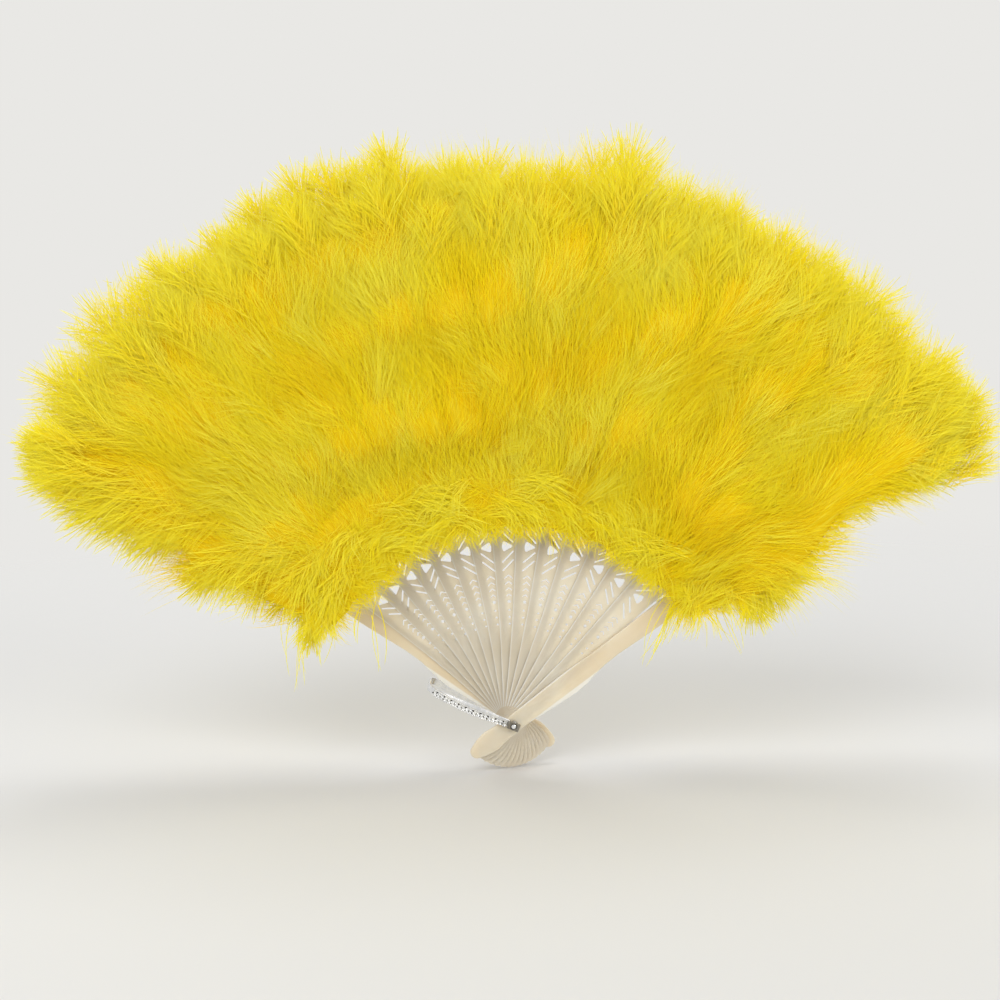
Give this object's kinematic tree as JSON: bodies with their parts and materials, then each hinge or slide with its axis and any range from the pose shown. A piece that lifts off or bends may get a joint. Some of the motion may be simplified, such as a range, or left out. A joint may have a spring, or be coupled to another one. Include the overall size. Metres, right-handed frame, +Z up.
{
  "type": "folding fan",
  "caption": "Folding fan with pierced moulded sticks, guards, fluffy feather plumes, a rivet with a crystal and a swinging strap bail.",
  "frame": {"origin": "middle of the rivet that all the blades turn on", "axes": "+Z up along the open fan's line of symmetry, +X to the viewer's right, +Y away from the viewer along the rivet"},
  "size_m": [0.4672, 0.0448, 0.3093],
  "materials": {
    "stick_plastic": "satin",
    "quill": "satin",
    "marabou": "matte",
    "thread": "matte",
    "chrome": "polished",
    "dark_setting": "satin",
    "crystal": "gloss"
  },
  "bodies": {
    "rivet": {"rivet_pin": "chrome", "rear_washer": "chrome", "linking_thread": "thread"},
    "rear_guard_blade": {"rear_guard": "stick_plastic", "rear_guard_quill": "quill", "rear_guard_plume": "marabou"},
    "stick_01_blade": {"stick_01": "stick_plastic", "stick_01_quill": "quill", "stick_01_plume": "marabou"},
    "stick_02_blade": {"stick_02": "stick_plastic", "stick_02_quill": "quill", "stick_02_plume": "marabou"},
    "stick_03_blade": {"stick_03": "stick_plastic", "stick_03_quill": "quill", "stick_03_plume": "marabou"},
    "stick_04_blade": {"stick_04": "stick_plastic", "stick_04_quill": "quill", "stick_04_plume": "marabou"},
    "stick_05_blade": {"stick_05": "stick_plastic", "stick_05_quill": "quill", "stick_05_plume": "marabou"},
    "stick_06_blade": {"stick_06": "stick_plastic", "stick_06_quill": "quill", "stick_06_plume": "marabou"},
    "stick_07_blade": {"stick_07": "stick_plastic", "stick_07_quill": "quill", "stick_07_plume": "marabou"},
    "stick_08_blade": {"stick_08": "stick_plastic", "stick_08_quill": "quill", "stick_08_plume": "marabou"},
    "stick_09_blade": {"stick_09": "stick_plastic", "stick_09_quill": "quill", "stick_09_plume": "marabou"},
    "stick_10_blade": {"stick_10": "stick_plastic", "stick_10_quill": "quill", "stick_10_plume": "marabou"},
    "stick_11_blade": {"stick_11": "stick_plastic", "stick_11_quill": "quill", "stick_11_plume": "marabou"},
    "stick_12_blade": {"stick_12": "stick_plastic", "stick_12_quill": "quill", "stick_12_plume": "marabou"},
    "stick_13_blade": {"stick_13": "stick_plastic", "stick_13_quill": "quill", "stick_13_plume": "marabou"},
    "stick_14_blade": {"stick_14": "stick_plastic", "stick_14_quill": "quill", "stick_14_plume": "marabou"},
    "front_guard_blade": {"front_guard": "stick_plastic", "front_guard_quill": "quill", "front_guard_plume": "marabou"},
    "bail": {"bail_strap": "chrome", "crystal_setting": "dark_setting", "crystal": "crystal"}
  },
  "joints": [
    {"name": "fold", "type": "hinge", "parent": "rivet", "child": "front_guard_blade", "pos_m": [0, 0, 0], "axis": [0, -1, 0], "range_deg": [0, 53], "deforming": ["front_guard_plume", "linking_thread"]},
    {"name": "fold_stick_14", "type": "hinge", "parent": "rivet", "child": "stick_14_blade", "pos_m": [0, 0, 0], "axis": [0, -1, 0], "range_deg": [0, 45.04], "deforming": ["stick_14_plume"]},
    {"name": "fold_stick_13", "type": "hinge", "parent": "rivet", "child": "stick_13_blade", "pos_m": [0, 0, 0], "axis": [0, -1, 0], "range_deg": [0, 37.12], "deforming": ["stick_13_plume"]},
    {"name": "fold_stick_12", "type": "hinge", "parent": "rivet", "child": "stick_12_blade", "pos_m": [0, 0, 0], "axis": [0, -1, 0], "range_deg": [0, 29.27], "deforming": ["stick_12_plume"]},
    {"name": "fold_stick_11", "type": "hinge", "parent": "rivet", "child": "stick_11_blade", "pos_m": [0, 0, 0], "axis": [0, -1, 0], "range_deg": [0, 21.54], "deforming": ["stick_11_plume"]},
    {"name": "fold_stick_10", "type": "hinge", "parent": "rivet", "child": "stick_10_blade", "pos_m": [0, 0, 0], "axis": [0, -1, 0], "range_deg": [0, 13.94], "deforming": ["stick_10_plume"]},
    {"name": "fold_stick_09", "type": "hinge", "parent": "rivet", "child": "stick_09_blade", "pos_m": [0, 0, 0], "axis": [0, -1, 0], "range_deg": [0, 6.51], "deforming": ["stick_09_plume"]},
    {"name": "fold_stick_08", "type": "hinge", "parent": "rivet", "child": "stick_08_blade", "pos_m": [0, 0, 0], "axis": [0, -1, 0], "range_deg": [-0.74311, 0], "deforming": ["stick_08_plume"]},
    {"name": "fold_stick_07", "type": "hinge", "parent": "rivet", "child": "stick_07_blade", "pos_m": [0, 0, 0], "axis": [0, -1, 0], "range_deg": [-7.81, 0], "deforming": ["stick_07_plume"]},
    {"name": "fold_stick_06", "type": "hinge", "parent": "rivet", "child": "stick_06_blade", "pos_m": [0, 0, 0], "axis": [0, -1, 0], "range_deg": [-14.69, 0], "deforming": ["stick_06_plume"]},
    {"name": "fold_stick_05", "type": "hinge", "parent": "rivet", "child": "stick_05_blade", "pos_m": [0, 0, 0], "axis": [0, -1, 0], "range_deg": [-21.39, 0], "deforming": ["stick_05_plume"]},
    {"name": "fold_stick_04", "type": "hinge", "parent": "rivet", "child": "stick_04_blade", "pos_m": [0, 0, 0], "axis": [0, -1, 0], "range_deg": [-27.93, 0], "deforming": ["stick_04_plume"]},
    {"name": "fold_stick_03", "type": "hinge", "parent": "rivet", "child": "stick_03_blade", "pos_m": [0, 0, 0], "axis": [0, -1, 0], "range_deg": [-34.33, 0], "deforming": ["stick_03_plume"]},
    {"name": "fold_stick_02", "type": "hinge", "parent": "rivet", "child": "stick_02_blade", "pos_m": [0, 0, 0], "axis": [0, -1, 0], "range_deg": [-40.62, 0], "deforming": ["stick_02_plume"]},
    {"name": "fold_stick_01", "type": "hinge", "parent": "rivet", "child": "stick_01_blade", "pos_m": [0, 0, 0], "axis": [0, -1, 0], "range_deg": [-46.83, 0], "deforming": ["stick_01_plume"]},
    {"name": "fold_rear_guard", "type": "hinge", "parent": "rivet", "child": "rear_guard_blade", "pos_m": [0, 0, 0], "axis": [0, -1, 0], "range_deg": [-53, 0], "deforming": ["rear_guard_plume"]},
    {"name": "bail_swing", "type": "hinge", "parent": "rivet", "child": "bail", "pos_m": [0, 0, 0], "axis": [0, -1, 0], "range_deg": [0, 229]}
  ],
  "couplings": [
    {"joint": "fold_stick_14", "follows": "fold", "ratio": 0.8498},
    {"joint": "fold_stick_13", "follows": "fold", "ratio": 0.70033},
    {"joint": "fold_stick_12", "follows": "fold", "ratio": 0.55231},
    {"joint": "fold_stick_11", "follows": "fold", "ratio": 0.40637},
    {"joint": "fold_stick_10", "follows": "fold", "ratio": 0.26307},
    {"joint": "fold_stick_09", "follows": "fold", "ratio": 0.12284},
    {"joint": "fold_stick_08", "follows": "fold", "ratio": -0.014021},
    {"joint": "fold_stick_07", "follows": "fold", "ratio": -0.14735},
    {"joint": "fold_stick_06", "follows": "fold", "ratio": -0.27716},
    {"joint": "fold_stick_05", "follows": "fold", "ratio": -0.4036},
    {"joint": "fold_stick_04", "follows": "fold", "ratio": -0.52696},
    {"joint": "fold_stick_03", "follows": "fold", "ratio": -0.64769},
    {"joint": "fold_stick_02", "follows": "fold", "ratio": -0.76633},
    {"joint": "fold_stick_01", "follows": "fold", "ratio": -0.88353},
    {"joint": "fold_rear_guard", "follows": "fold", "ratio": -1}
  ]
}
